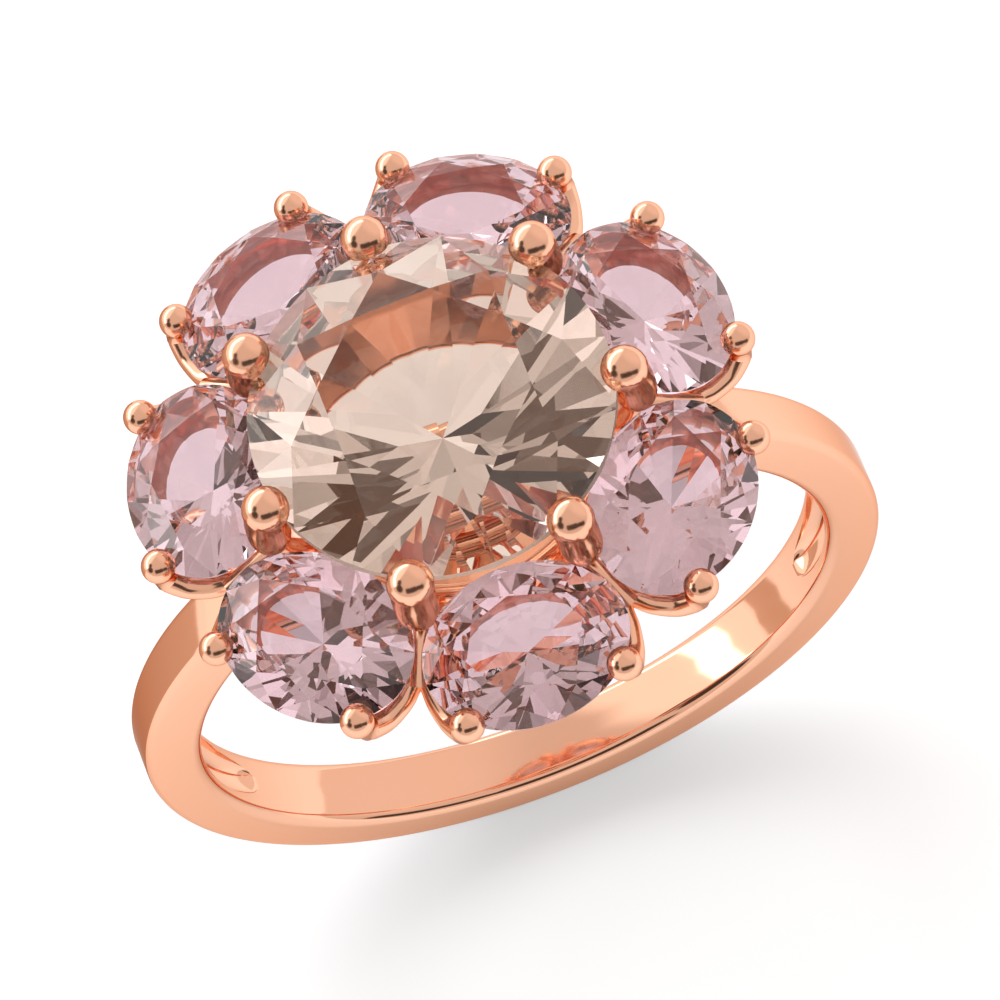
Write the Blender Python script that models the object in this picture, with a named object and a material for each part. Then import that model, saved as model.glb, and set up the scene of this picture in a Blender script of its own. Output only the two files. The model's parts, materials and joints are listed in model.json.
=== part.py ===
"""Cocktail ring: one large round stone in a seven-claw basket, ringed by seven oval stones, on a slim band.

Metres. The origin is the centre of the finger hole, Y runs along the finger and +Z points up at the stones.
Every claw, rail, seat and stone is an object of its own, as the ring is put together at the bench.
"""

import math

import bmesh
import bpy
from mathutils import Vector

MM = 0.001
FULL_TURN = 2 * math.pi

# Band. Its thickness and width are given at the top, at the side and at the bottom of the ring.
BORE_RADIUS = 8.6 * MM
BAND_THICKNESS = (1.08 * MM, 1.50 * MM, 1.92 * MM)
BAND_INNER_WIDTH = (2.24 * MM, 2.05 * MM, 1.86 * MM)
BAND_OUTER_WIDTH = (1.60 * MM, 1.46 * MM, 1.32 * MM)
BAND_END_ANGLE = math.radians(24.2)
BAND_STATIONS = 72
INNER_BEVEL = 0.30 * MM
OUTER_ROUND = 0.26 * MM

# Hollow milled in the inside of each shoulder. Angles are from the top of the ring.
HOLLOW_DEPTH = 0.55 * MM
HOLLOW_HALF_WIDTH = 0.66 * MM
HOLLOW_SLIM = 0.2 * MM
HOLLOW_TAPER_START = math.radians(96)
HOLLOW_END = math.radians(117)

# Stones.
PETALS = 7
CENTRE_RADIUS = 4.6 * MM
CENTRE_HEIGHT = 13.05 * MM
CENTRE_TURN = math.radians(22.5)
CENTRE_CUT = {"table": 0.58, "crown": 1.24 * MM, "pavilion": 3.95 * MM, "girdle": 0.34 * MM}
SIDE_LENGTH = 5.26 * MM
SIDE_WIDTH = 4.10 * MM
SIDE_CIRCLE = 6.05 * MM
SIDE_HEIGHT = 11.14 * MM
SIDE_TILT = math.radians(11.2)
SIDE_CUT = {"table": 0.58, "crown": 0.60 * MM, "pavilion": 1.72 * MM, "girdle": 0.10 * MM}
STAR_LENGTH = 0.52
LOWER_HALF_LENGTH = 0.76
CUT_FOLD = 8
NOTCH_CLEARANCE = 0.02 * MM

# Claws of the centre stone: distance from the ring's vertical axis, height, wire radius.
CENTRE_CLAW = (
    (4.02, 9.46, 0.34),
    (4.40, 10.15, 0.34),
    (4.74, 10.80, 0.31),
    (4.93, 11.40, 0.29),
    (4.98, 11.75, 0.40),
    (4.99, 12.15, 0.50),
    (4.95, 12.75, 0.50),
)
CENTRE_BALL = (4.86 * MM, 13.35 * MM)
CENTRE_BALL_RADIUS = 0.60 * MM

# Arm between two side stones: distance from the axis, height, wire radius.
SIDE_ARM = (
    (5.26, 11.12, 0.22),
    (5.60, 11.00, 0.24),
    (5.95, 10.83, 0.26),
    (6.26, 10.64, 0.27),
)

# Claw of a side stone, which leaves the arm's end: distance out, distance aside, height, wire radius.
SIDE_CLAW = (
    (6.34, 0.32, 10.49, 0.28),
    (6.76, 0.46, 10.33, 0.29),
    (7.22, 0.82, 10.31, 0.31),
    (7.55, 1.18, 10.54, 0.33),
)
SIDE_BALL = (7.61 * MM, 1.37 * MM, 11.08 * MM)
SIDE_BALL_RADIUS = 0.44 * MM

# Flat rail at the foot of the basket: inner and outer radius, lowest and highest level, width of its bevels.
BASE_RAIL = {"inner": 2.00 * MM, "outer": 4.06 * MM, "low": 8.87 * MM, "high": 9.32 * MM, "bevel": 0.10 * MM}

# Round rail: radius of the ring that it makes, height, wire radius.
GALLERY_RAIL = (3.78 * MM, 10.24 * MM, 0.24 * MM)

# Tapered collet under a side stone: size of its outer top edge, and its section as (inward from that edge, down).
SEAT_LENGTH = 4.38 * MM
SEAT_WIDTH = 3.46 * MM
SEAT_SECTION = ((0.00, 0.42), (0.12, 0.46), (0.72, 1.02), (0.44, 1.14))

BALL_LATITUDES = (-45, -20, 5, 30, 55, 78)
CLAW_SIDES = 10
RAIL_SIDES = 8
RAIL_STATIONS = 48
SEAT_STATIONS = 28
CENTRE_GIRDLE_POINTS = 64
SIDE_GIRDLE_POINTS = 32
PATH_STEPS = 2


def clear_scene():
    for obj in list(bpy.data.objects):
        bpy.data.objects.remove(obj, do_unlink=True)


def principled(name, colour, metallic, roughness, transmission=0.0, ior=1.5):
    material = bpy.data.materials.new(name)
    material.use_nodes = True
    shader = material.node_tree.nodes["Principled BSDF"]
    shader.inputs["Base Color"].default_value = (*colour, 1.0)
    shader.inputs["Metallic"].default_value = metallic
    shader.inputs["Roughness"].default_value = roughness
    shader.inputs["Transmission Weight"].default_value = transmission
    shader.inputs["IOR"].default_value = ior
    material.diffuse_color = (*colour, 1.0)
    return material


def rose_gold():
    return principled("rose_gold", (0.86, 0.52, 0.37), 1.0, 0.16)


def peach_gem():
    return principled("peach_gem", (0.90, 0.72, 0.60), 0.0, 0.02, 0.9, 1.58)


def pink_gem():
    return principled("pink_gem", (0.84, 0.66, 0.74), 0.0, 0.02, 0.9, 1.55)


def turns(count):
    return [FULL_TURN * i / count for i in range(count)]


def claw_angle(index):
    """Direction of a centre claw. One claw points along +Y, and the next ones follow clockwise."""
    return FULL_TURN / 4 - FULL_TURN * index / PETALS


def petal_angle(index):
    """Direction of a side stone, halfway between two centre claws."""
    return claw_angle(index + 0.5)


def add_object(name, mesh, material, parent, angle=0.0):
    obj = bpy.data.objects.new(name, mesh)
    bpy.context.scene.collection.objects.link(obj)
    obj.parent = parent
    obj.rotation_euler.z = angle
    if material.name not in mesh.materials:
        mesh.materials.append(material)
    return obj


def mesh_from(bm, name, smooth=True):
    bmesh.ops.recalc_face_normals(bm, faces=bm.faces)
    mesh = bpy.data.meshes.new(name)
    bm.to_mesh(mesh)
    bm.free()
    if smooth:
        mesh.shade_smooth()
        mesh.set_sharp_from_angle(angle=math.radians(40))
    return mesh


def bridge(bm, low, high):
    count = len(low)
    for i in range(count):
        j = (i + 1) % count
        bm.faces.new((low[i], low[j], high[j], high[i]))


def smooth_route(points, steps):
    """Catmull-Rom curve through the points, each a tuple of any length."""
    ends = [points[0], *points, points[-1]]
    route = []
    for before, start, end, after in zip(ends, ends[1:], ends[2:], ends[3:]):
        for step in range(steps):
            t = step / steps
            route.append(
                tuple(
                    0.5 * (2 * b + (c - a) * t + (2 * a - 5 * b + 4 * c - d) * t**2 + (3 * b - a - 3 * c + d) * t**3)
                    for a, b, c, d in zip(before, start, end, after)
                )
            )
    route.append(points[-1])
    return route


def sweep(path, radii, sides, reference, closed=False):
    """A round wire along the path. reference is never parallel to the path, and fixes where the seam lies."""
    bm = bmesh.new()
    last = len(path) - 1
    rings = []
    for i, (point, radius) in enumerate(zip(path, radii)):
        before = path[i - 1] if closed or i else point
        after = path[(i + 1) % len(path)] if closed or i < last else point
        tangent = (after - before).normalized()
        side = reference.cross(tangent).normalized()
        up = tangent.cross(side)
        rings.append(
            [bm.verts.new(point + radius * (math.cos(a) * side + math.sin(a) * up)) for a in turns(sides)]
        )
    for low, high in zip(rings, rings[1:]):
        bridge(bm, low, high)
    if closed:
        bridge(bm, rings[-1], rings[0])
    else:
        bm.faces.new(rings[0])
        bm.faces.new(rings[-1])
    return bm


def add_ball(path, radii, centre, ball_radius):
    """Ends a wire in a ball, whose rings follow its latitudes."""
    direction = (centre - path[-1]).normalized()
    for latitude in BALL_LATITUDES:
        angle = math.radians(latitude)
        path.append(centre + direction * ball_radius * math.sin(angle))
        radii.append(ball_radius * math.cos(angle))


# Band


def at_height(values, angle):
    """Blends the top, side and bottom values by the height that the angle from the top reaches."""
    top, side, bottom = values
    height = math.cos(angle)
    return side + (top - side) * max(height, 0.0) + (bottom - side) * max(-height, 0.0)


def hollow_at(angle):
    """Half width and depth of the milled hollow at an angle from the top, 0 to half a turn."""
    if angle >= HOLLOW_END:
        return HOLLOW_SLIM, 0.0
    along = max(0.0, (angle - HOLLOW_TAPER_START) / (HOLLOW_END - HOLLOW_TAPER_START))
    rounding = math.sqrt(1.0 - along**2)
    return HOLLOW_SLIM + (HOLLOW_HALF_WIDTH - HOLLOW_SLIM) * rounding, HOLLOW_DEPTH * rounding**1.3


def band_half_section(angle):
    """Half of the band's section, from the middle of its inside to the middle of its outside."""
    thickness = at_height(BAND_THICKNESS, angle)
    inner = at_height(BAND_INNER_WIDTH, angle) / 2
    outer = at_height(BAND_OUTER_WIDTH, angle) / 2
    half_hollow, depth = hollow_at(min(angle, FULL_TURN - angle))
    section = []
    for step in range(4):
        turn = math.radians(30 * step)
        section.append((half_hollow * math.sin(turn), depth * math.cos(turn)))
    section += [
        (inner - INNER_BEVEL, 0.0),
        (inner - 0.3 * INNER_BEVEL, 0.3 * INNER_BEVEL),
        (inner, INNER_BEVEL),
    ]
    for step in range(4):
        turn = math.radians(30 * step)
        section.append((outer - OUTER_ROUND * (1 - math.cos(turn)), thickness - OUTER_ROUND * (1 - math.sin(turn))))
    section.append((0.0, thickness))
    return section


def band_section(angle):
    half = band_half_section(angle)
    mirrored = [(-axial, radial) for axial, radial in reversed(half[1:-1])]
    points = []
    for axial, radial in half + mirrored:
        distance = BORE_RADIUS + radial
        points.append(Vector((distance * math.sin(angle), axial, distance * math.cos(angle))))
    return points


def make_band(material, parent):
    bm = bmesh.new()
    rings = []
    for station in range(BAND_STATIONS + 1):
        angle = BAND_END_ANGLE + (FULL_TURN - 2 * BAND_END_ANGLE) * station / BAND_STATIONS
        rings.append([bm.verts.new(point) for point in band_section(angle)])
    for low, high in zip(rings, rings[1:]):
        bridge(bm, low, high)
    bm.faces.new(rings[0])
    bm.faces.new(rings[-1])
    add_object("shank", mesh_from(bm, "shank"), material, parent)


# Stones


def around(radius, turn, height):
    """A point at this many eighths of a turn round a stone that is one unit in radius."""
    angle = FULL_TURN * turn / CUT_FOLD
    return Vector((radius * math.cos(angle), radius * math.sin(angle), height))


def plane_through(a, b, c):
    """Normal and distance of the plane through three points."""
    normal = (b - a).cross(c - a)
    return normal, normal.dot(a)


def height_on(plane, x, y):
    normal, distance = plane
    return (distance - normal.x * x - normal.y * y) / normal.z


def girdle_facet_planes(radius, height, edge):
    """Planes of the sixteen facets that meet the girdle, each with its tip at this radius and height."""
    planes = []
    for facet in range(2 * CUT_FOLD):
        tip = around(radius, facet // 2 + 0.5, height)
        planes.append(plane_through(tip, around(1, facet / 2, edge), around(1, facet / 2 + 0.5, edge)))
    return planes


def brilliant(half_length, half_width, cut, girdle_points, grow=0.0):
    """A brilliant cut stone with its girdle in the XY plane. An oval one is the round cut, stretched."""
    crown = cut["crown"] + grow
    pavilion = cut["pavilion"] + grow
    edge = cut["girdle"] / 2 + grow
    table = cut["table"]
    middle = math.cos(FULL_TURN / CUT_FOLD / 2)
    star = table * middle + STAR_LENGTH * (1 - table * middle)
    star_height = crown - (star * middle - table) * (crown - edge) / (1 - table)
    lower = 1 - LOWER_HALF_LENGTH
    lower_height = -pavilion + lower * middle * (pavilion - edge)
    upper_planes = girdle_facet_planes(star, star_height, edge)
    lower_planes = girdle_facet_planes(lower, lower_height, -edge)
    bm = bmesh.new()

    def vertex(x, y, z):
        return bm.verts.new((x * (half_length + grow), y * (half_width + grow), z))

    table_ring = [vertex(*around(table, k, crown)) for k in range(CUT_FOLD)]
    star_ring = [vertex(*around(star, k + 0.5, star_height)) for k in range(CUT_FOLD)]
    lower_ring = [vertex(*around(lower, k + 0.5, lower_height)) for k in range(CUT_FOLD)]
    culet = vertex(0, 0, -pavilion)
    per_facet = girdle_points // (2 * CUT_FOLD)
    top_edge = []
    bottom_edge = []
    for i in range(girdle_points):
        rim = around(1, i * CUT_FOLD / girdle_points, 0)
        facet = i // per_facet
        top_edge.append(vertex(rim.x, rim.y, height_on(upper_planes[facet], rim.x, rim.y)))
        bottom_edge.append(vertex(rim.x, rim.y, height_on(lower_planes[facet], rim.x, rim.y)))
    bm.faces.new(table_ring)
    for k in range(CUT_FOLD):
        here = 2 * k * per_facet
        bm.faces.new((table_ring[k], table_ring[(k + 1) % CUT_FOLD], star_ring[k]))
        bm.faces.new((table_ring[k], star_ring[k], top_edge[here], star_ring[k - 1]))
        bm.faces.new((culet, lower_ring[k - 1], bottom_edge[here], lower_ring[k]))
        for start in (here, here + per_facet):
            rim = [(start + i) % girdle_points for i in range(per_facet + 1)]
            bm.faces.new([star_ring[k]] + [top_edge[i] for i in rim])
            bm.faces.new([lower_ring[k]] + [bottom_edge[i] for i in rim])
    bridge(bm, bottom_edge, top_edge)
    return bm


def place_side_stone(obj, index):
    """Puts an object where a side stone sits: its long axis round the ring, its outer edge tilted down."""
    angle = petal_angle(index)
    outward = Vector((math.cos(angle), math.sin(angle), 0))
    obj.location = outward * SIDE_CIRCLE + Vector((0, 0, SIDE_HEIGHT))
    obj.rotation_euler = (SIDE_TILT, 0, angle + FULL_TURN / 4)


def hide_cutter(obj):
    obj.hide_render = True
    obj.display_type = "WIRE"


def make_stones(parent):
    """The eight stones, each with a slightly larger hidden copy that notches the claws around it."""
    centre_gem = peach_gem()
    side_gem = pink_gem()
    centre = (CENTRE_RADIUS, CENTRE_RADIUS, CENTRE_CUT, CENTRE_GIRDLE_POINTS)
    side = (SIDE_LENGTH / 2, SIDE_WIDTH / 2, SIDE_CUT, SIDE_GIRDLE_POINTS)
    centre_mesh = mesh_from(brilliant(*centre), "centre_stone", smooth=False)
    side_mesh = mesh_from(brilliant(*side), "side_stone", smooth=False)
    centre_notch = mesh_from(brilliant(*centre, NOTCH_CLEARANCE), "centre_notch", smooth=False)
    side_notch = mesh_from(brilliant(*side, NOTCH_CLEARANCE), "side_notch", smooth=False)
    cutters = []
    for name, mesh in (("centre_stone", centre_mesh), ("centre_notch", centre_notch)):
        obj = add_object(name, mesh, centre_gem, parent)
        obj.location.z = CENTRE_HEIGHT
        obj.rotation_euler.z = CENTRE_TURN
        if mesh is centre_notch:
            hide_cutter(obj)
            cutters.append(obj)
    for index in range(PETALS):
        place_side_stone(add_object(f"side_stone_{index + 1}", side_mesh, side_gem, parent), index)
        cutter = add_object(f"side_notch_{index + 1}", side_notch, side_gem, parent)
        place_side_stone(cutter, index)
        hide_cutter(cutter)
        cutters.append(cutter)
    return cutters[0], cutters[1:]


# Head


def cut_notch(obj, cutter):
    notch = obj.modifiers.new("notch", "BOOLEAN")
    notch.operation = "DIFFERENCE"
    notch.object = cutter


def make_centre_claws(material, parent, centre_cutter):
    route = smooth_route(CENTRE_CLAW, PATH_STEPS)
    path = [Vector((out * MM, 0, height * MM)) for out, height, _ in route]
    radii = [radius * MM for _, _, radius in route]
    add_ball(path, radii, Vector((CENTRE_BALL[0], 0, CENTRE_BALL[1])), CENTRE_BALL_RADIUS)
    mesh = mesh_from(sweep(path, radii, CLAW_SIDES, Vector((0, 1, 0))), "centre_claw")
    for index in range(PETALS):
        claw = add_object(f"centre_claw_{index + 1}", mesh, material, parent, claw_angle(index))
        cut_notch(claw, centre_cutter)


def make_side_arms(material, parent):
    path = [Vector((out * MM, 0, height * MM)) for out, height, _ in SIDE_ARM]
    radii = [radius * MM for _, _, radius in SIDE_ARM]
    mesh = mesh_from(sweep(path, radii, RAIL_SIDES, Vector((0, 1, 0))), "side_arm")
    for index in range(PETALS):
        add_object(f"side_arm_{index + 1}", mesh, material, parent, claw_angle(index))


def make_side_claws(material, parent, side_cutters):
    """Two claws leave each arm. The one clockwise of it holds the side stone that follows the arm."""
    route = smooth_route(SIDE_CLAW, PATH_STEPS)
    out, aside, height = SIDE_BALL
    for hand, letter, follows in ((-1, "b", 0), (1, "a", -1)):
        path = [Vector((u * MM, hand * v * MM, z * MM)) for u, v, z, _ in route]
        radii = [radius * MM for *_, radius in route]
        add_ball(path, radii, Vector((out, hand * aside, height)), SIDE_BALL_RADIUS)
        mesh = mesh_from(sweep(path, radii, CLAW_SIDES, Vector((0, 1, 0))), f"side_claw_{letter}")
        for index in range(PETALS):
            claw = add_object(f"side_claw_{index + 1}{letter}", mesh, material, parent, claw_angle(index))
            cut_notch(claw, side_cutters[(index + follows) % PETALS])


def ring_path(half_length, half_width, height, stations):
    return [Vector((half_length * math.cos(a), half_width * math.sin(a), height)) for a in turns(stations)]


def bevelled_outline(inner, outer, low, high, bevel):
    """Outline of a flat bar's section with bevelled corners, as (distance from the axis, height)."""
    return (
        (inner + bevel, low),
        (outer - bevel, low),
        (outer, low + bevel),
        (outer, high - bevel),
        (outer - bevel, high),
        (inner + bevel, high),
        (inner, high - bevel),
        (inner, low + bevel),
    )


def make_base_rail(material, parent):
    bm = bmesh.new()
    rings = []
    for angle in turns(RAIL_STATIONS):
        outline = bevelled_outline(**BASE_RAIL)
        rings.append([bm.verts.new((x * math.cos(angle), x * math.sin(angle), z)) for x, z in outline])
    for low, high in zip(rings, rings[1:] + rings[:1]):
        bridge(bm, low, high)
    add_object("base_rail", mesh_from(bm, "base_rail"), material, parent)


def make_gallery_rail(material, parent):
    radius, height, wire = GALLERY_RAIL
    path = ring_path(radius, radius, height, RAIL_STATIONS)
    bm = sweep(path, [wire] * RAIL_STATIONS, RAIL_SIDES, Vector((0, 0, 1)), closed=True)
    add_object("gallery_rail", mesh_from(bm, "gallery_rail"), material, parent)


def make_side_seats(material, parent):
    bm = bmesh.new()
    rings = []
    for inward, down in SEAT_SECTION:
        half_length = SEAT_LENGTH / 2 - inward * MM
        half_width = SEAT_WIDTH / 2 - inward * MM
        rings.append([bm.verts.new(point) for point in ring_path(half_length, half_width, -down * MM, SEAT_STATIONS)])
    for low, high in zip(rings, rings[1:] + rings[:1]):
        bridge(bm, low, high)
    mesh = mesh_from(bm, "side_seat")
    for index in range(PETALS):
        place_side_stone(add_object(f"side_seat_{index + 1}", mesh, material, parent), index)


def main():
    clear_scene()
    ring = bpy.data.objects.new("ring", None)
    bpy.context.scene.collection.objects.link(ring)
    gold = rose_gold()
    centre_cutter, side_cutters = make_stones(ring)
    make_band(gold, ring)
    make_base_rail(gold, ring)
    make_gallery_rail(gold, ring)
    make_side_seats(gold, ring)
    make_side_arms(gold, ring)
    make_centre_claws(gold, ring, centre_cutter)
    make_side_claws(gold, ring, side_cutters)


main()
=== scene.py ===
"""Looks of the cocktail ring: polished rose gold, faceted stones, a pale floor and soft studio light.

Metres, in the CAD's frame: the origin is the finger hole's centre, Y runs along the finger, +Z points up at the
stones. The frame's boxes fix the stones. The other sizes are the ones that part.py was designed with, except
that wires reach into each other where they are soldered, and the necks of the centre claws are a little thicker.
"""

import json
import math

import bmesh
import bpy
from mathutils import Matrix, Vector

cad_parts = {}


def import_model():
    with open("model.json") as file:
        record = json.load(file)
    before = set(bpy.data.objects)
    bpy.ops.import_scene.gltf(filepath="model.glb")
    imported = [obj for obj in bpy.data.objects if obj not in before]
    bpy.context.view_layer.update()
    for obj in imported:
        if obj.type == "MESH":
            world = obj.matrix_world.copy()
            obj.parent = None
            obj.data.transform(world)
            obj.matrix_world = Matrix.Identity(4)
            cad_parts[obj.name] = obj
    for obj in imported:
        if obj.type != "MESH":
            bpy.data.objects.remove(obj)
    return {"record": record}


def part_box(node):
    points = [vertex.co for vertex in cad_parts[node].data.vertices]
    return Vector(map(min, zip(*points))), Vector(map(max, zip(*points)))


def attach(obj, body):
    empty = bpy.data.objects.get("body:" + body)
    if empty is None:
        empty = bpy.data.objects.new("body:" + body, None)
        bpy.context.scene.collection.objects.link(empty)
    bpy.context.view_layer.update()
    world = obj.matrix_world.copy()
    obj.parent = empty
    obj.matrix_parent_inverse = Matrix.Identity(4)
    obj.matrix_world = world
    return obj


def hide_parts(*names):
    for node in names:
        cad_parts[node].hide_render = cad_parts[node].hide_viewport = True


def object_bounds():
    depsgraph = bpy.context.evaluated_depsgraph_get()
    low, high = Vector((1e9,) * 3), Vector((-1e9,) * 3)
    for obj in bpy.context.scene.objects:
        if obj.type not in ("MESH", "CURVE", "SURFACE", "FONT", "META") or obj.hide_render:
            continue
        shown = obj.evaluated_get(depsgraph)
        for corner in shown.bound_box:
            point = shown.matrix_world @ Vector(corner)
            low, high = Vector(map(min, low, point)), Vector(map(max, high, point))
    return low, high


MM = 0.001
FULL_TURN = 2 * math.pi
PETALS = 7

# Camera: the directions of its right, up and back in the ring's frame, and its distance from the finger hole.
CAMERA_RIGHT = Vector((0.93046, -0.33922, -0.13847))
CAMERA_UP = Vector((0.36575, 0.83756, 0.40585))
CAMERA_BACK = Vector((-0.02170, -0.42827, 0.90339))
CAMERA_DISTANCE = 0.24186
CAMERA_ASIDE = -0.00013
CAMERA_RAISE = 0.00302
CAMERA_LENS = 336.2

# Band. Its thickness and width are given at the top, at the side and at the bottom of the ring.
BAND_THICKNESS = (1.08 * MM, 1.50 * MM, 1.92 * MM)
BAND_INNER_WIDTH = (2.24 * MM, 2.05 * MM, 1.86 * MM)
BAND_OUTER_WIDTH = (1.60 * MM, 1.46 * MM, 1.32 * MM)
BAND_END_ANGLE = math.radians(24.2)
BAND_STATIONS = 288
INNER_BEVEL = 0.30 * MM
OUTER_ROUND = 0.26 * MM
HOLLOW_DEPTH = 0.55 * MM
HOLLOW_HALF_WIDTH = 0.66 * MM
HOLLOW_SLIM = 0.2 * MM
HOLLOW_TAPER_START = math.radians(96)
HOLLOW_END = math.radians(117)

# Stones.
STAR_LENGTH = 0.52
LOWER_HALF_LENGTH = 0.76
CUT_FOLD = 8
CENTRE_TURN = math.radians(22.5)
CENTRE_CUT = {"table": 0.58, "crown": 1.24 * MM, "pavilion": 3.95 * MM, "girdle": 0.34 * MM}
SIDE_CUT = {"table": 0.58, "crown": 0.60 * MM, "pavilion": 1.72 * MM, "girdle": 0.10 * MM}
SIDE_WIDTH = 4.10 * MM
SIDE_CIRCLE = 6.05 * MM
SIDE_HEIGHT = 11.14 * MM
SIDE_TILT = math.radians(11.2)
GIRDLE_POINTS = 128

# Claws and wires: distance out from the ring's vertical axis, distance aside, height, radius, in millimetres.
CENTRE_CLAW = (
    (4.02, 0, 9.46, 0.34),
    (4.40, 0, 10.15, 0.34),
    (4.74, 0, 10.80, 0.31),
    (4.93, 0, 11.40, 0.29),
    (4.97, 0, 11.70, 0.44),
    (4.98, 0, 12.10, 0.55),
    (4.95, 0, 12.75, 0.56),
)
CENTRE_BALL = (4.86, 0, 13.35)
CENTRE_BALL_RADIUS = 0.60 * MM
SIDE_ARM = (
    (4.90, 0, 11.24, 0.20),
    (5.26, 0, 11.14, 0.22),
    (5.60, 0, 11.02, 0.24),
    (5.95, 0, 10.85, 0.26),
    (6.40, 0, 10.58, 0.28),
)
SIDE_CLAW = (
    (6.20, 0.12, 10.60, 0.26),
    (6.42, 0.28, 10.45, 0.28),
    (6.76, 0.46, 10.33, 0.29),
    (7.22, 0.82, 10.31, 0.31),
    (7.55, 1.18, 10.54, 0.33),
)
SIDE_BALL = (7.61, 1.37, 11.08)
SIDE_BALL_RADIUS = 0.44 * MM
BASE_RAIL = {"inner": 2.00 * MM, "outer": 4.06 * MM, "low": 8.87 * MM, "high": 9.32 * MM, "edge": 0.10 * MM}
GALLERY_RAIL = (3.78 * MM, 10.24 * MM, 0.24 * MM)

# Tapered collet under a side stone: its outer top edge, and its section as (inward from that edge, down).
SEAT_LENGTH = 4.38 * MM
SEAT_WIDTH = 3.46 * MM
SEAT_SECTION = ((0.00, 0.42), (0.12, 0.46), (0.72, 1.02), (0.44, 1.14))

# Light tent. Each panel or patch of the dome is a direction, its inner and outer edge in degrees, and a colour.
# A seam is a bright or dark strip of the dome: from, to, half width in degrees, and a colour.
DOME = (0.76, 0.69, 0.65)
DARK = (0.07, 0.055, 0.05)
PANELS = (
    ((0.80, 0.45, 0.40), 20, 55, (0.92, 0.83, 0.79)),
    ((-0.54, 0.83, 0.15), 44, 54, (1.25, 1.22, 1.20)),
)
SEAMS = (
    ((-0.94, 0.08, 0.27), (0.25, 0.94, 0.22), 6, (3.2, 3.2, 3.2)),
    ((-0.62, 0.20, 0.76), (-0.78, -0.10, 0.62), 9, DARK),
    ((-0.78, -0.10, 0.62), (-0.85, -0.47, 0.24), 20, DARK),
    ((-0.52, -0.71, 0.47), (0.32, -0.81, 0.49), 12, DARK),
    ((0.32, -0.81, 0.49), (0.80, -0.58, 0.15), 9, DARK),
)
# These patches are seen only through the stones.
STONE_PATCHES = (
    ((0.05, -0.40, 0.91), 6, 18, (1.35, 1.28, 1.28)),
    ((-0.38, -0.26, 0.89), 8, 15, (0.15, 0.095, 0.07)),
    ((0.44, -0.27, 0.855), 10, 16, (0.15, 0.095, 0.07)),
    ((-0.22, 0.28, 0.93), 5, 11, (0.15, 0.095, 0.07)),
)
SEAM_SOFTNESS = 2.0

# Light table: its surface, and the light that it gives from below.
FLOOR_COLOUR = (0.73, 0.745, 0.765)
FLOOR_GLOW = 0.45

# Card that lies on the table behind the ring, at its left. It glows in its own colour and only polished things see
# it, so it is a painted darker reflection on the left of the band's outside. Its corners in plan, its rise and the
# colour it glows.
CARD_LOW = (-0.200, 0.003)
CARD_HIGH = (-0.011, 0.120)
CARD_RISE = 0.02 * MM
CARD_REFLECTED_GLOW = (0.64, 0.46, 0.36)

# The lamp that lights the floor: where it stands, its side and its power.
KEY_PLACE = (-0.06, 0.36, 0.46)
KEY_SIDE = 0.34
KEY_POWER = 0.8

# Gold: the two colours that its alloy varies between, its colour at a glancing angle, and its texture.
GOLD_PALE = (0.97, 0.56, 0.385)
GOLD_DEEP = (0.95, 0.53, 0.355)
GOLD_EDGE = (0.75, 0.54, 0.45)
ALLOY_SCALE = 260.0
SWIRL_SCALE = 2600.0
WAVE_SCALE = 700.0
WAVE_STRENGTH = 0.10
WAVE_DEPTH = 0.02 * MM
SHANK_ROUGHNESS = (0.05, 0.12)
WIRE_ROUGHNESS = (0.12, 0.22)

# Stones: pale colour, deep colour, index of refraction, roughness. The frosted ones are the ground girdles.
PEACH = ((0.80, 0.66, 0.57), (0.72, 0.56, 0.47), 1.58, 0.0)
PINK = ((0.76, 0.58, 0.63), (0.66, 0.45, 0.51), 1.68, 0.0)
PEACH_FROSTED = ((0.78, 0.68, 0.60), (0.70, 0.58, 0.50), 1.58, 0.45)
PINK_FROSTED = ((0.78, 0.62, 0.66), (0.70, 0.52, 0.56), 1.68, 0.30)
ZONE_SCALE = 180.0

WIRE_SIDES = 32
PATH_STEPS = 6
BALL_RINGS = 18
RAIL_STATIONS = 144
SHARP_ANGLE = math.radians(38)
FLOOR_HALF_SIDE = 1.5


def turns(count):
    return [FULL_TURN * i / count for i in range(count)]


def claw_angle(index):
    return FULL_TURN / 4 - FULL_TURN * index / PETALS


def petal_angle(index):
    return claw_angle(index + 0.5)


# Materials


def new_material(name):
    material = bpy.data.materials.new(name)
    material.use_nodes = True
    return material, material.node_tree, material.node_tree.nodes["Principled BSDF"]


def rose_gold(name, smoothest, roughest):
    """Polished alloy: slight waves and fine swirls from the polishing, and a little colour change in the alloy."""
    material, tree, shader = new_material(name)
    shader.inputs["Metallic"].default_value = 1.0
    shader.inputs["Specular Tint"].default_value = (*GOLD_EDGE, 1)
    place = tree.nodes.new("ShaderNodeTexCoord").outputs["Object"]
    alloy = noise(tree, place, scale=ALLOY_SCALE, detail=2.0)
    tint = tree.nodes.new("ShaderNodeMix")
    tint.data_type = "RGBA"
    tint.inputs["A"].default_value = (*GOLD_PALE, 1)
    tint.inputs["B"].default_value = (*GOLD_DEEP, 1)
    tree.links.new(alloy, tint.inputs["Factor"])
    tree.links.new(tint.outputs["Result"], shader.inputs["Base Color"])
    swirl = noise(tree, place, scale=SWIRL_SCALE, detail=4.0)
    spread = tree.nodes.new("ShaderNodeMapRange")
    spread.inputs["To Min"].default_value = smoothest
    spread.inputs["To Max"].default_value = roughest
    tree.links.new(swirl, spread.inputs["Value"])
    tree.links.new(spread.outputs["Result"], shader.inputs["Roughness"])
    waves = noise(tree, place, scale=WAVE_SCALE, detail=1.0)
    bump = tree.nodes.new("ShaderNodeBump")
    bump.inputs["Strength"].default_value = WAVE_STRENGTH
    bump.inputs["Distance"].default_value = WAVE_DEPTH
    tree.links.new(waves, bump.inputs["Height"])
    tree.links.new(bump.outputs["Normal"], shader.inputs["Normal"])
    return material


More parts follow.
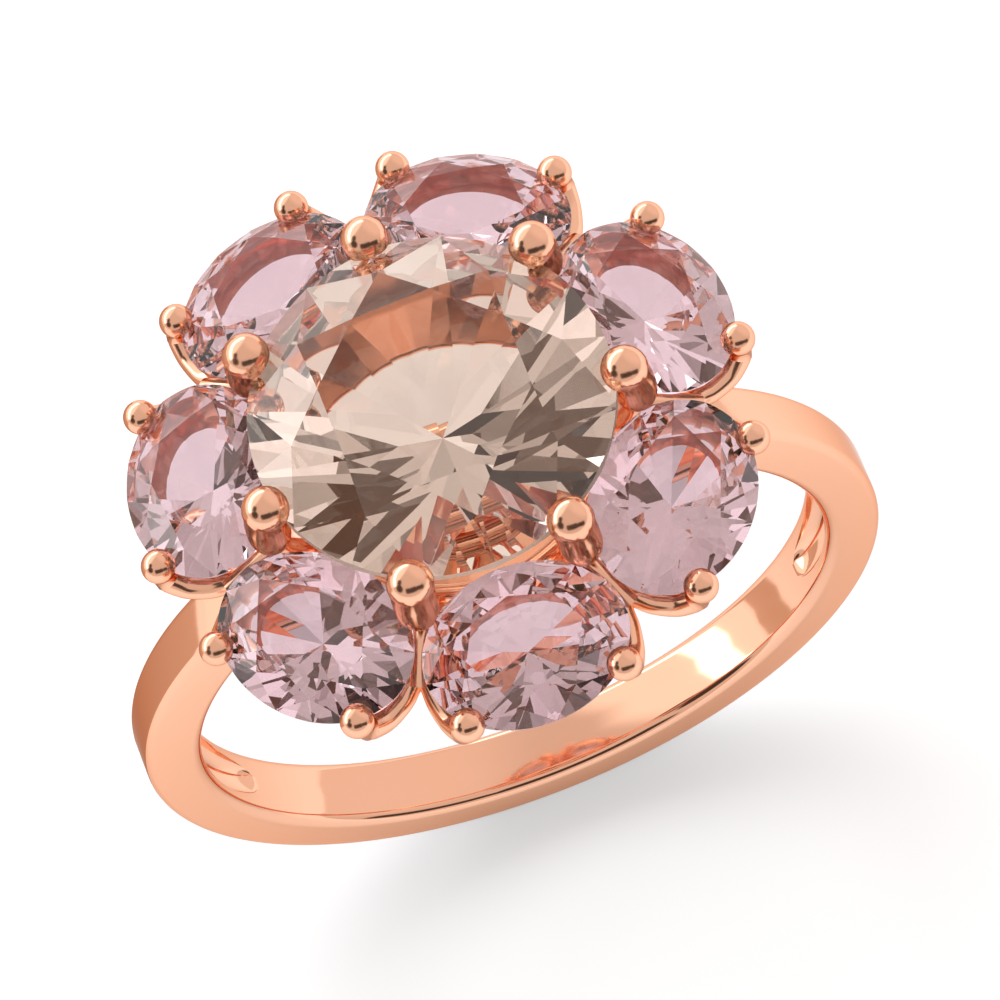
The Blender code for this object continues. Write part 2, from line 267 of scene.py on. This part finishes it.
def noise(tree, place, scale, detail):
    texture = tree.nodes.new("ShaderNodeTexNoise")
    texture.inputs["Scale"].default_value = scale
    texture.inputs["Detail"].default_value = detail
    tree.links.new(place, texture.inputs["Vector"])
    return texture.outputs["Fac"]


def gem(name, pale, deep, ior, roughness):
    """Clear tinted stone with faint growth zones of deeper colour."""
    material, tree, shader = new_material(name)
    shader.inputs["Roughness"].default_value = roughness
    shader.inputs["IOR"].default_value = ior
    shader.inputs["Transmission Weight"].default_value = 1.0
    place = tree.nodes.new("ShaderNodeTexCoord").outputs["Object"]
    zones = noise(tree, place, scale=ZONE_SCALE, detail=2.0)
    tint = tree.nodes.new("ShaderNodeMix")
    tint.data_type = "RGBA"
    tint.inputs["A"].default_value = (*pale, 1)
    tint.inputs["B"].default_value = (*deep, 1)
    tree.links.new(zones, tint.inputs["Factor"])
    tree.links.new(tint.outputs["Result"], shader.inputs["Base Color"])
    return material


# Mesh helpers


def bridge(bm, low, high):
    count = len(low)
    for i in range(count):
        j = (i + 1) % count
        bm.faces.new((low[i], low[j], high[j], high[i]))


def piece(name, bm, node, slot, *materials, smooth=True):
    """Makes the object, sets it to ride on the frame and puts it in place of its CAD node."""
    bmesh.ops.recalc_face_normals(bm, faces=bm.faces)
    mesh = bpy.data.meshes.new(name)
    bm.to_mesh(mesh)
    bm.free()
    if smooth:
        mesh.shade_smooth()
        mesh.set_sharp_from_angle(angle=SHARP_ANGLE)
    for layer in materials:
        mesh.materials.append(layer)
    obj = bpy.data.objects.new(name, mesh)
    bpy.context.scene.collection.objects.link(obj)
    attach(obj, "root")
    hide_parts(node)
    return obj


def between(a, b, c, d, t):
    """Catmull-Rom value from b, where t is 0, to c, where t is 1. a and d are the values before and after."""
    return 0.5 * (2 * b + (c - a) * t + (2 * a - 5 * b + 4 * c - d) * t**2 + (3 * b - a - 3 * c + d) * t**3)


def smooth_route(points, steps):
    """Catmull-Rom curve through the points, each a tuple of any length."""
    ends = [points[0], *points, points[-1]]
    route = []
    for before, start, end, after in zip(ends, ends[1:], ends[2:], ends[3:]):
        for step in range(steps):
            t = step / steps
            route.append(tuple(between(*values, t) for values in zip(before, start, end, after)))
    route.append(points[-1])
    return route


def sweep(path, radii, sides, reference, closed=False):
    """A round wire along the path. reference is never parallel to the path, and fixes where the seam lies."""
    bm = bmesh.new()
    last = len(path) - 1
    rings = []
    for i, (point, radius) in enumerate(zip(path, radii)):
        before = path[i - 1] if closed or i else point
        after = path[(i + 1) % len(path)] if closed or i < last else point
        tangent = (after - before).normalized()
        side = reference.cross(tangent).normalized()
        up = tangent.cross(side)
        rings.append(
            [bm.verts.new(point + radius * (math.cos(a) * side + math.sin(a) * up)) for a in turns(sides)]
        )
    for low, high in zip(rings, rings[1:]):
        bridge(bm, low, high)
    if closed:
        bridge(bm, rings[-1], rings[0])
    else:
        bm.faces.new(rings[0])
        bm.faces.new(rings[-1])
    return bm


def wire_path(points, hand, angle):
    """Places a route of (out, aside, height, radius) points, in millimetres, round the ring's vertical axis."""
    turn = Matrix.Rotation(angle, 3, "Z")
    route = smooth_route(points, PATH_STEPS)
    path = [turn @ Vector((out, hand * aside, height)) * MM for out, aside, height, _ in route]
    return path, [radius * MM for *_, radius in route]


def add_ball(path, radii, centre, ball_radius):
    """Ends a wire in a ball, whose rings follow its latitudes."""
    direction = (centre - path[-1]).normalized()
    lowest = -math.acos(min(1.0, radii[-1] / ball_radius))
    for step in range(BALL_RINGS + 1):
        angle = lowest + (math.radians(88) - lowest) * step / BALL_RINGS
        path.append(centre + direction * ball_radius * math.sin(angle))
        radii.append(ball_radius * math.cos(angle))


# Band


def at_height(values, angle):
    top, side, bottom = values
    height = math.cos(angle)
    return side + (top - side) * max(height, 0.0) + (bottom - side) * max(-height, 0.0)


def hollow_at(angle):
    if angle >= HOLLOW_END:
        return HOLLOW_SLIM, 0.0
    along = max(0.0, (angle - HOLLOW_TAPER_START) / (HOLLOW_END - HOLLOW_TAPER_START))
    rounding = math.sqrt(1.0 - along**2)
    return HOLLOW_SLIM + (HOLLOW_HALF_WIDTH - HOLLOW_SLIM) * rounding, HOLLOW_DEPTH * rounding**1.3


def band_half_section(angle):
    thickness = at_height(BAND_THICKNESS, angle)
    inner = at_height(BAND_INNER_WIDTH, angle) / 2
    outer = at_height(BAND_OUTER_WIDTH, angle) / 2
    half_hollow, depth = hollow_at(min(angle, FULL_TURN - angle))
    section = []
    for step in range(7):
        turn = math.radians(15 * step)
        section.append((half_hollow * math.sin(turn), depth * math.cos(turn)))
    for step in range(7):
        turn = math.radians(15 * step)
        section.append((inner - INNER_BEVEL * (1 - math.sin(turn)), INNER_BEVEL * (1 - math.cos(turn))))
    for step in range(7):
        turn = math.radians(15 * step)
        axial = outer - OUTER_ROUND * (1 - math.cos(turn))
        section.append((axial, thickness - OUTER_ROUND * (1 - math.sin(turn))))
    section.append((0.0, thickness))
    return section


def band_section(angle, bore):
    half = band_half_section(angle)
    mirrored = [(-axial, radial) for axial, radial in reversed(half[1:-1])]
    points = []
    for axial, radial in half + mirrored:
        distance = bore + radial
        points.append(Vector((distance * math.sin(angle), axial, distance * math.cos(angle))))
    return points


def make_band(material, bore):
    bm = bmesh.new()
    rings = []
    for station in range(BAND_STATIONS + 1):
        angle = BAND_END_ANGLE + (FULL_TURN - 2 * BAND_END_ANGLE) * station / BAND_STATIONS
        rings.append([bm.verts.new(point) for point in band_section(angle, bore)])
    for low, high in zip(rings, rings[1:]):
        bridge(bm, low, high)
    bm.faces.new(rings[0])
    bm.faces.new(rings[-1])
    piece("polished_shank", bm, "shank", "rose_gold", material)


# Stones


def around(radius, turn, height):
    """A point at this many eighths of a turn round a stone that is one unit in radius."""
    angle = FULL_TURN * turn / CUT_FOLD
    return Vector((radius * math.cos(angle), radius * math.sin(angle), height))


def plane_through(a, b, c):
    normal = (b - a).cross(c - a)
    return normal, normal.dot(a)


def height_on(plane, x, y):
    normal, distance = plane
    return (distance - normal.x * x - normal.y * y) / normal.z


def girdle_facet_planes(radius, height, edge):
    """Planes of the sixteen facets that meet the girdle, each with its tip at this radius and height."""
    planes = []
    for facet in range(2 * CUT_FOLD):
        tip = around(radius, facet // 2 + 0.5, height)
        planes.append(plane_through(tip, around(1, facet / 2, edge), around(1, facet / 2 + 0.5, edge)))
    return planes


def brilliant(half_length, half_width, cut, turn=0.0):
    """A brilliant cut stone with its girdle in the XY plane. An oval one is the round cut, stretched.

    The girdle's faces take the second material.
    """
    crown = cut["crown"]
    pavilion = cut["pavilion"]
    edge = cut["girdle"] / 2
    table = cut["table"]
    middle = math.cos(FULL_TURN / CUT_FOLD / 2)
    star = table * middle + STAR_LENGTH * (1 - table * middle)
    star_height = crown - (star * middle - table) * (crown - edge) / (1 - table)
    lower = 1 - LOWER_HALF_LENGTH
    lower_height = -pavilion + lower * middle * (pavilion - edge)
    upper_planes = girdle_facet_planes(star, star_height, edge)
    lower_planes = girdle_facet_planes(lower, lower_height, -edge)
    spin = Matrix.Rotation(turn, 3, "Z")
    bm = bmesh.new()

    def vertex(x, y, z):
        turned = spin @ Vector((x, y, z))
        return bm.verts.new((turned.x * half_length, turned.y * half_width, turned.z))

    table_ring = [vertex(*around(table, k, crown)) for k in range(CUT_FOLD)]
    star_ring = [vertex(*around(star, k + 0.5, star_height)) for k in range(CUT_FOLD)]
    lower_ring = [vertex(*around(lower, k + 0.5, lower_height)) for k in range(CUT_FOLD)]
    culet = vertex(0, 0, -pavilion)
    per_facet = GIRDLE_POINTS // (2 * CUT_FOLD)
    top_edge = []
    bottom_edge = []
    for i in range(GIRDLE_POINTS):
        rim = around(1, i * CUT_FOLD / GIRDLE_POINTS, 0)
        facet = i // per_facet
        top_edge.append(vertex(rim.x, rim.y, height_on(upper_planes[facet], rim.x, rim.y)))
        bottom_edge.append(vertex(rim.x, rim.y, height_on(lower_planes[facet], rim.x, rim.y)))
    bm.faces.new(table_ring)
    for k in range(CUT_FOLD):
        here = 2 * k * per_facet
        bm.faces.new((table_ring[k], table_ring[(k + 1) % CUT_FOLD], star_ring[k]))
        bm.faces.new((table_ring[k], star_ring[k], top_edge[here], star_ring[k - 1]))
        bm.faces.new((culet, lower_ring[k - 1], bottom_edge[here], lower_ring[k]))
        for start in (here, here + per_facet):
            rim = [(start + i) % GIRDLE_POINTS for i in range(per_facet + 1)]
            bm.faces.new([star_ring[k]] + [top_edge[i] for i in rim])
            bm.faces.new([lower_ring[k]] + [bottom_edge[i] for i in rim])
    cut_faces = len(bm.faces)
    bridge(bm, bottom_edge, top_edge)
    bm.faces.ensure_lookup_table()
    for face in bm.faces[cut_faces:]:
        face.material_index = 1
    return bm


def side_stone_matrix(index):
    angle = petal_angle(index)
    outward = Vector((math.cos(angle), math.sin(angle), 0))
    place = outward * SIDE_CIRCLE + Vector((0, 0, SIDE_HEIGHT))
    turn = Matrix.Rotation(angle + FULL_TURN / 4, 4, "Z") @ Matrix.Rotation(SIDE_TILT, 4, "X")
    return Matrix.Translation(place) @ turn


def make_stones(peach, pink, frosted_peach, frosted_pink):
    low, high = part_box("centre_stone")
    radius = (high.x - low.x) / 2
    bm = brilliant(radius, radius, CENTRE_CUT, CENTRE_TURN)
    bm.transform(Matrix.Translation((0, 0, high.z - CENTRE_CUT["crown"])))
    piece("cut_centre_stone", bm, "centre_stone", "peach_gem", peach, frosted_peach, smooth=False)
    # The fourth side stone lies straight along X, so its box gives its length.
    low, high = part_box("side_stone_4")
    half_length = (high.x - low.x) / 2
    for index in range(PETALS):
        bm = brilliant(half_length, SIDE_WIDTH / 2, SIDE_CUT)
        bm.transform(side_stone_matrix(index))
        node = f"side_stone_{index + 1}"
        piece(f"cut_{node}", bm, node, "pink_gem", pink, frosted_pink, smooth=False)


# Head


def make_centre_claws(material):
    for index in range(PETALS):
        angle = claw_angle(index)
        path, radii = wire_path(CENTRE_CLAW, 1, angle)
        centre = Matrix.Rotation(angle, 3, "Z") @ Vector(CENTRE_BALL) * MM
        add_ball(path, radii, centre, CENTRE_BALL_RADIUS)
        across = Vector((-math.sin(angle), math.cos(angle), 0))
        bm = sweep(path, radii, WIRE_SIDES, across)
        piece(f"ball_claw_{index + 1}", bm, f"centre_claw_{index + 1}", "rose_gold", material)


def make_side_arms(material):
    for index in range(PETALS):
        angle = claw_angle(index)
        path, radii = wire_path(SIDE_ARM, 1, angle)
        across = Vector((-math.sin(angle), math.cos(angle), 0))
        bm = sweep(path, radii, WIRE_SIDES, across)
        piece(f"soldered_arm_{index + 1}", bm, f"side_arm_{index + 1}", "rose_gold", material)


def make_side_claws(material):
    out, aside, height = SIDE_BALL
    for index in range(PETALS):
        angle = claw_angle(index)
        turn = Matrix.Rotation(angle, 3, "Z")
        across = Vector((-math.sin(angle), math.cos(angle), 0))
        for hand, letter in ((1, "a"), (-1, "b")):
            path, radii = wire_path(SIDE_CLAW, hand, angle)
            add_ball(path, radii, turn @ Vector((out, hand * aside, height)) * MM, SIDE_BALL_RADIUS)
            name = f"{index + 1}{letter}"
            bm = sweep(path, radii, WIRE_SIDES, across)
            piece(f"ball_side_claw_{name}", bm, f"side_claw_{name}", "rose_gold", material)


def ring_path(half_length, half_width, height, stations):
    return [Vector((half_length * math.cos(a), half_width * math.sin(a), height)) for a in turns(stations)]


def rounded_box(inner, outer, low, high, edge):
    """Outline of a rounded rectangle, as (distance from the axis, height)."""
    corners = (
        (outer - edge, low + edge),
        (outer - edge, high - edge),
        (inner + edge, high - edge),
        (inner + edge, low + edge),
    )
    outline = []
    for quarter, (x, z) in enumerate(corners):
        for step in range(7):
            angle = math.radians(-90 + 90 * quarter + 15 * step)
            outline.append((x + edge * math.cos(angle), z + edge * math.sin(angle)))
    return outline


def make_base_rail(material):
    bm = bmesh.new()
    outline = rounded_box(**BASE_RAIL)
    rings = [
        [bm.verts.new((x * math.cos(angle), x * math.sin(angle), z)) for x, z in outline]
        for angle in turns(RAIL_STATIONS)
    ]
    for low, high in zip(rings, rings[1:] + rings[:1]):
        bridge(bm, low, high)
    piece("flat_base_rail", bm, "base_rail", "rose_gold", material)


def make_gallery_rail(material):
    radius, height, wire = GALLERY_RAIL
    path = ring_path(radius, radius, height, RAIL_STATIONS)
    bm = sweep(path, [wire] * RAIL_STATIONS, WIRE_SIDES, Vector((0, 0, 1)), closed=True)
    piece("round_gallery_rail", bm, "gallery_rail", "rose_gold", material)


def make_side_seats(material):
    for index in range(PETALS):
        bm = bmesh.new()
        rings = []
        for inward, down in SEAT_SECTION:
            half_length = SEAT_LENGTH / 2 - inward * MM
            half_width = SEAT_WIDTH / 2 - inward * MM
            path = ring_path(half_length, half_width, -down * MM, RAIL_STATIONS)
            rings.append([bm.verts.new(point) for point in path])
        for low, high in zip(rings, rings[1:] + rings[:1]):
            bridge(bm, low, high)
        bm.transform(side_stone_matrix(index))
        piece(f"tapered_seat_{index + 1}", bm, f"side_seat_{index + 1}", "rose_gold", material)


# Studio


def make_camera():
    data = bpy.data.cameras.new("camera")
    data.lens = CAMERA_LENS
    data.sensor_width = 36
    data.clip_start = 0.01
    data.clip_end = 10
    camera = bpy.data.objects.new("camera", data)
    bpy.context.scene.collection.objects.link(camera)
    turn = Matrix((CAMERA_RIGHT, CAMERA_UP, CAMERA_BACK)).transposed()
    place = CAMERA_BACK * CAMERA_DISTANCE + CAMERA_RIGHT * CAMERA_ASIDE + CAMERA_UP * CAMERA_RAISE
    camera.matrix_world = Matrix.Translation(place) @ turn.to_4x4()
    bpy.context.scene.camera = camera


def make_floor(height):
    mesh = bpy.data.meshes.new("floor")
    bm = bmesh.new()
    bmesh.ops.create_grid(bm, x_segments=1, y_segments=1, size=FLOOR_HALF_SIDE)
    bm.transform(Matrix.Translation((0, 0, height)))
    bm.to_mesh(mesh)
    bm.free()
    material, _, shader = new_material("floor_paper")
    shader.inputs["Base Color"].default_value = (*FLOOR_COLOUR, 1)
    shader.inputs["Roughness"].default_value = 0.9
    shader.inputs["Emission Color"].default_value = (1, 1, 1, 1)
    shader.inputs["Emission Strength"].default_value = FLOOR_GLOW
    mesh.materials.append(material)
    floor = bpy.data.objects.new("floor", mesh)
    bpy.context.scene.collection.objects.link(floor)


def make_reflection_card(height):
    """A glowing card that only polished things see, which makes a painted reflection. It makes the left of the
    band's outside a deeper colour.
    """
    x_low, y_low = CARD_LOW
    x_high, y_high = CARD_HIGH
    bm = bmesh.new()
    corners = ((x_low, y_low), (x_high, y_low), (x_high, y_high), (x_low, y_high))
    bm.faces.new([bm.verts.new((x, y, height + CARD_RISE)) for x, y in corners])
    mesh = bpy.data.meshes.new("reflection_glow_card")
    bm.to_mesh(mesh)
    bm.free()
    material, _, shader = new_material("reflection_glow_card")
    shader.inputs["Base Color"].default_value = (0, 0, 0, 1)
    shader.inputs["Roughness"].default_value = 1.0
    # The card glows in its own brownish colour and is seen only in reflections: this is a painted darker
    # reflection on the gold.
    shader.inputs["Emission Color"].default_value = (*CARD_REFLECTED_GLOW, 1)
    shader.inputs["Emission Strength"].default_value = 1.0
    mesh.materials.append(material)
    card = bpy.data.objects.new("reflection_glow_card", mesh)
    bpy.context.scene.collection.objects.link(card)
    card.visible_camera = False
    card.visible_diffuse = False
    card.visible_transmission = False
    card.visible_shadow = False


def dot_with(tree, view, direction):
    toward = tree.nodes.new("ShaderNodeVectorMath")
    toward.operation = "DOT_PRODUCT"
    toward.inputs[1].default_value = direction.normalized()
    tree.links.new(view, toward.inputs[0])
    return toward.outputs["Value"]


def smooth_edge(tree, value, start, end):
    edge = tree.nodes.new("ShaderNodeMapRange")
    edge.interpolation_type = "SMOOTHSTEP"
    edge.inputs["From Min"].default_value = start
    edge.inputs["From Max"].default_value = end
    tree.links.new(value, edge.inputs["Value"])
    return edge.outputs["Result"]


def math_node(tree, operation, *values):
    node = tree.nodes.new("ShaderNodeMath")
    node.operation = operation
    for socket, value in zip(node.inputs, values):
        tree.links.new(value, socket)
    return node.outputs["Value"]


def painted(tree, before, mask, colour):
    paint = tree.nodes.new("ShaderNodeMix")
    paint.data_type = "RGBA"
    paint.inputs["B"].default_value = (*colour, 1)
    tree.links.new(mask, paint.inputs["Factor"])
    if before:
        tree.links.new(before, paint.inputs["A"])
    else:
        paint.inputs["A"].default_value = (*DOME, 1)
    return paint.outputs["Result"]


def round_mask(tree, view, centre, inner, outer):
    """1 within the inner angle of the direction centre, and 0 outside the outer one, both in radians."""
    return smooth_edge(tree, dot_with(tree, view, centre), math.cos(outer), math.cos(inner))


def seam_mask(tree, view, start, end, half_width, softness):
    """A strip of the great circle from start to end."""
    off_line = math_node(tree, "ABSOLUTE", dot_with(tree, view, start.cross(end)))
    line = smooth_edge(tree, off_line, math.sin(half_width + softness), math.sin(half_width))
    reach = start.angle(end) / 2
    ends = round_mask(tree, view, start.normalized() + end.normalized(), reach, reach + softness)
    return math_node(tree, "MULTIPLY", line, ends)


def make_world():
    """A light tent: a pale dome with brighter panels, and strips and openings that polished things reflect."""
    world = bpy.data.worlds.new("studio")
    bpy.context.scene.world = world
    world.use_nodes = True
    tree = world.node_tree
    view = tree.nodes.new("ShaderNodeTexCoord").outputs["Generated"]
    through_stone = tree.nodes.new("ShaderNodeLightPath").outputs["Is Transmission Ray"]
    colour = None
    for centre, inner, outer, light in PANELS:
        mask = round_mask(tree, view, Vector(centre), math.radians(inner), math.radians(outer))
        colour = painted(tree, colour, mask, light)
    softness = math.radians(SEAM_SOFTNESS)
    for start, end, half_width, light in SEAMS:
        mask = seam_mask(tree, view, Vector(start), Vector(end), math.radians(half_width), softness)
        colour = painted(tree, colour, mask, light)
    for centre, inner, outer, light in STONE_PATCHES:
        mask = round_mask(tree, view, Vector(centre), math.radians(inner), math.radians(outer))
        colour = painted(tree, colour, math_node(tree, "MULTIPLY", mask, through_stone), light)
    tree.links.new(colour, tree.nodes["Background"].inputs["Color"])


def make_key_lamp():
    """A softbox that only lights surfaces: the tent above is what polished things reflect."""
    data = bpy.data.lights.new("key_lamp", "AREA")
    data.size = KEY_SIDE
    data.energy = KEY_POWER
    lamp = bpy.data.objects.new("key_lamp", data)
    bpy.context.scene.collection.objects.link(lamp)
    lamp.location = KEY_PLACE
    lamp.rotation_euler = Vector(KEY_PLACE).to_track_quat("Z", "Y").to_euler()
    lamp.visible_camera = False
    lamp.visible_glossy = False
    lamp.visible_transmission = False


def make_studio(floor_height):
    make_world()
    make_key_lamp()
    make_floor(floor_height)
    make_reflection_card(floor_height)
    scene = bpy.context.scene
    scene.view_settings.view_transform = "Standard"
    scene.view_settings.look = "None"
    scene.cycles.caustics_reflective = False
    scene.cycles.caustics_refractive = False
    scene.cycles.max_bounces = 16
    scene.cycles.transmission_bounces = 16
    scene.cycles.glossy_bounces = 8


def main():
    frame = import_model()
    cad_box = [list(corner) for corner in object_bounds()]
    bore = next(m["dims"]["r_mm"] for m in frame["record"]["mounts"] if m["name"] == "finger_bore") * MM
    gold = rose_gold("rose_gold_polished", *SHANK_ROUGHNESS)
    wire_gold = rose_gold("rose_gold_wire", *WIRE_ROUGHNESS)
    peach = gem("peach_gem", *PEACH)
    pink = gem("pink_gem", *PINK)
    frosted_peach = gem("peach_gem_frosted", *PEACH_FROSTED)
    frosted_pink = gem("pink_gem_frosted", *PINK_FROSTED)
    make_stones(peach, pink, frosted_peach, frosted_pink)
    make_band(gold, bore)
    make_base_rail(gold)
    make_gallery_rail(gold)
    make_side_seats(wire_gold)
    make_side_arms(wire_gold)
    make_centre_claws(wire_gold)
    make_side_claws(wire_gold)
    make_camera()
    make_studio(cad_box[0][2])


main()
